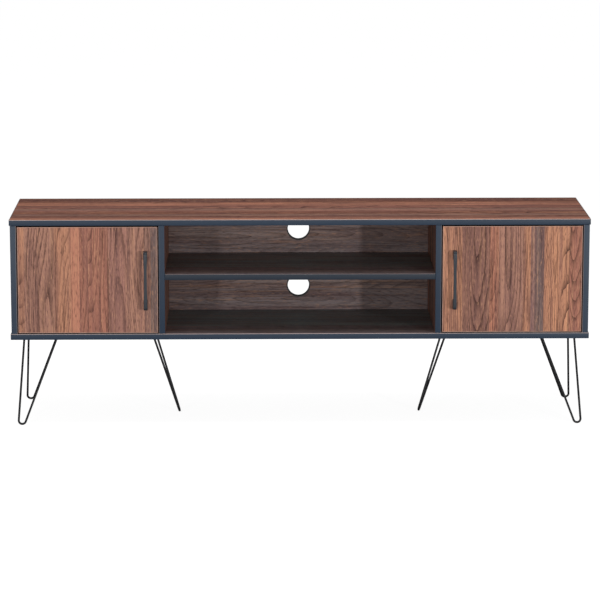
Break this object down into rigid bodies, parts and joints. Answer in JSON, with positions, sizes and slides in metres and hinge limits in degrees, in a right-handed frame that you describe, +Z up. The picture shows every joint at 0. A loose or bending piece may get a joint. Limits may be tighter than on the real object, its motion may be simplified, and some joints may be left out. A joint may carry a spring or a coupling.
{
  "type": "tv stand",
  "caption": "Low wide media cabinet on hairpin legs, with a hinged door at each end and two open shelves between them.",
  "frame": {"origin": "on the floor, under the middle of the whole object's plan box, handles included", "axes": "+X towards the right-hand door, +Y from the doors towards the back, +Z up"},
  "size_m": [1.6, 0.423, 0.5829],
  "materials": {
    "walnut_laminate": "satin walnut laminate with charcoal edge banding on the front edges",
    "walnut_door": "satin walnut laminate with upright plank grain",
    "handle_metal": "satin black powder coat",
    "leg_metal": "satin black powder coat",
    "hinge_steel": "nickel plated steel",
    "screw_steel": "zinc plated steel",
    "catch_plastic": "moulded brown plastic"
  },
  "bodies": {
    "carcass": {"top_panel": "walnut_laminate", "bottom_panel": "walnut_laminate", "left_side_panel": "walnut_laminate", "right_side_panel": "walnut_laminate", "left_divider": "walnut_laminate", "right_divider": "walnut_laminate", "centre_shelf": "walnut_laminate", "left_back_panel": "walnut_laminate", "right_back_panel": "walnut_laminate", "upper_centre_back": "walnut_laminate", "lower_centre_back": "walnut_laminate", "left_lower_hinge_arm": "hinge_steel", "left_lower_hinge_mounting_plate": "hinge_steel", "left_upper_hinge_arm": "hinge_steel", "left_upper_hinge_mounting_plate": "hinge_steel", "left_magnetic_catch": "catch_plastic", "left_front_leg": "leg_metal", "left_front_leg_plate": "leg_metal", "left_middle_leg": "leg_metal", "left_middle_leg_plate": "leg_metal", "left_rear_leg": "leg_metal", "left_rear_leg_plate": "leg_metal", "right_lower_hinge_arm": "hinge_steel", "right_lower_hinge_mounting_plate": "hinge_steel", "right_upper_hinge_arm": "hinge_steel", "right_upper_hinge_mounting_plate": "hinge_steel", "right_magnetic_catch": "catch_plastic", "right_front_leg": "leg_metal", "right_front_leg_plate": "leg_metal", "right_middle_leg": "leg_metal", "right_middle_leg_plate": "leg_metal", "right_rear_leg": "leg_metal", "right_rear_leg_plate": "leg_metal"},
    "left_door": {"left_door": "walnut_door", "left_handle": "handle_metal", "left_handle_lower_screw": "screw_steel", "left_lower_hinge_cup": "hinge_steel", "left_handle_upper_screw": "screw_steel", "left_upper_hinge_cup": "hinge_steel", "left_strike_plate": "hinge_steel"},
    "right_door": {"right_door": "walnut_door", "right_handle": "handle_metal", "right_handle_lower_screw": "screw_steel", "right_lower_hinge_cup": "hinge_steel", "right_handle_upper_screw": "screw_steel", "right_upper_hinge_cup": "hinge_steel", "right_strike_plate": "hinge_steel"},
    "left_hinge_links": {"left_lower_hinge_link": "hinge_steel", "left_upper_hinge_link": "hinge_steel"},
    "right_hinge_links": {"right_lower_hinge_link": "hinge_steel", "right_upper_hinge_link": "hinge_steel"}
  },
  "joints": [
    {"name": "left_door_swing", "type": "hinge", "parent": "carcass", "child": "left_door", "pos_m": [-0.7755, -0.1835, 0.4155], "axis": [0, 0, -1], "range_deg": [0, 105]},
    {"name": "left_hinge_link_swing", "type": "hinge", "parent": "carcass", "child": "left_hinge_links", "pos_m": [-0.7755, -0.1835, 0.4155], "axis": [0, 0, -1], "range_deg": [0, 52.5]},
    {"name": "right_door_swing", "type": "hinge", "parent": "carcass", "child": "right_door", "pos_m": [0.7755, -0.1835, 0.4155], "axis": [0, 0, 1], "range_deg": [0, 105]},
    {"name": "right_hinge_link_swing", "type": "hinge", "parent": "carcass", "child": "right_hinge_links", "pos_m": [0.7755, -0.1835, 0.4155], "axis": [0, 0, 1], "range_deg": [0, 52.5]}
  ],
  "couplings": [
    {"joint": "left_hinge_link_swing", "follows": "left_door_swing", "ratio": 0.5},
    {"joint": "right_hinge_link_swing", "follows": "right_door_swing", "ratio": 0.5}
  ]
}
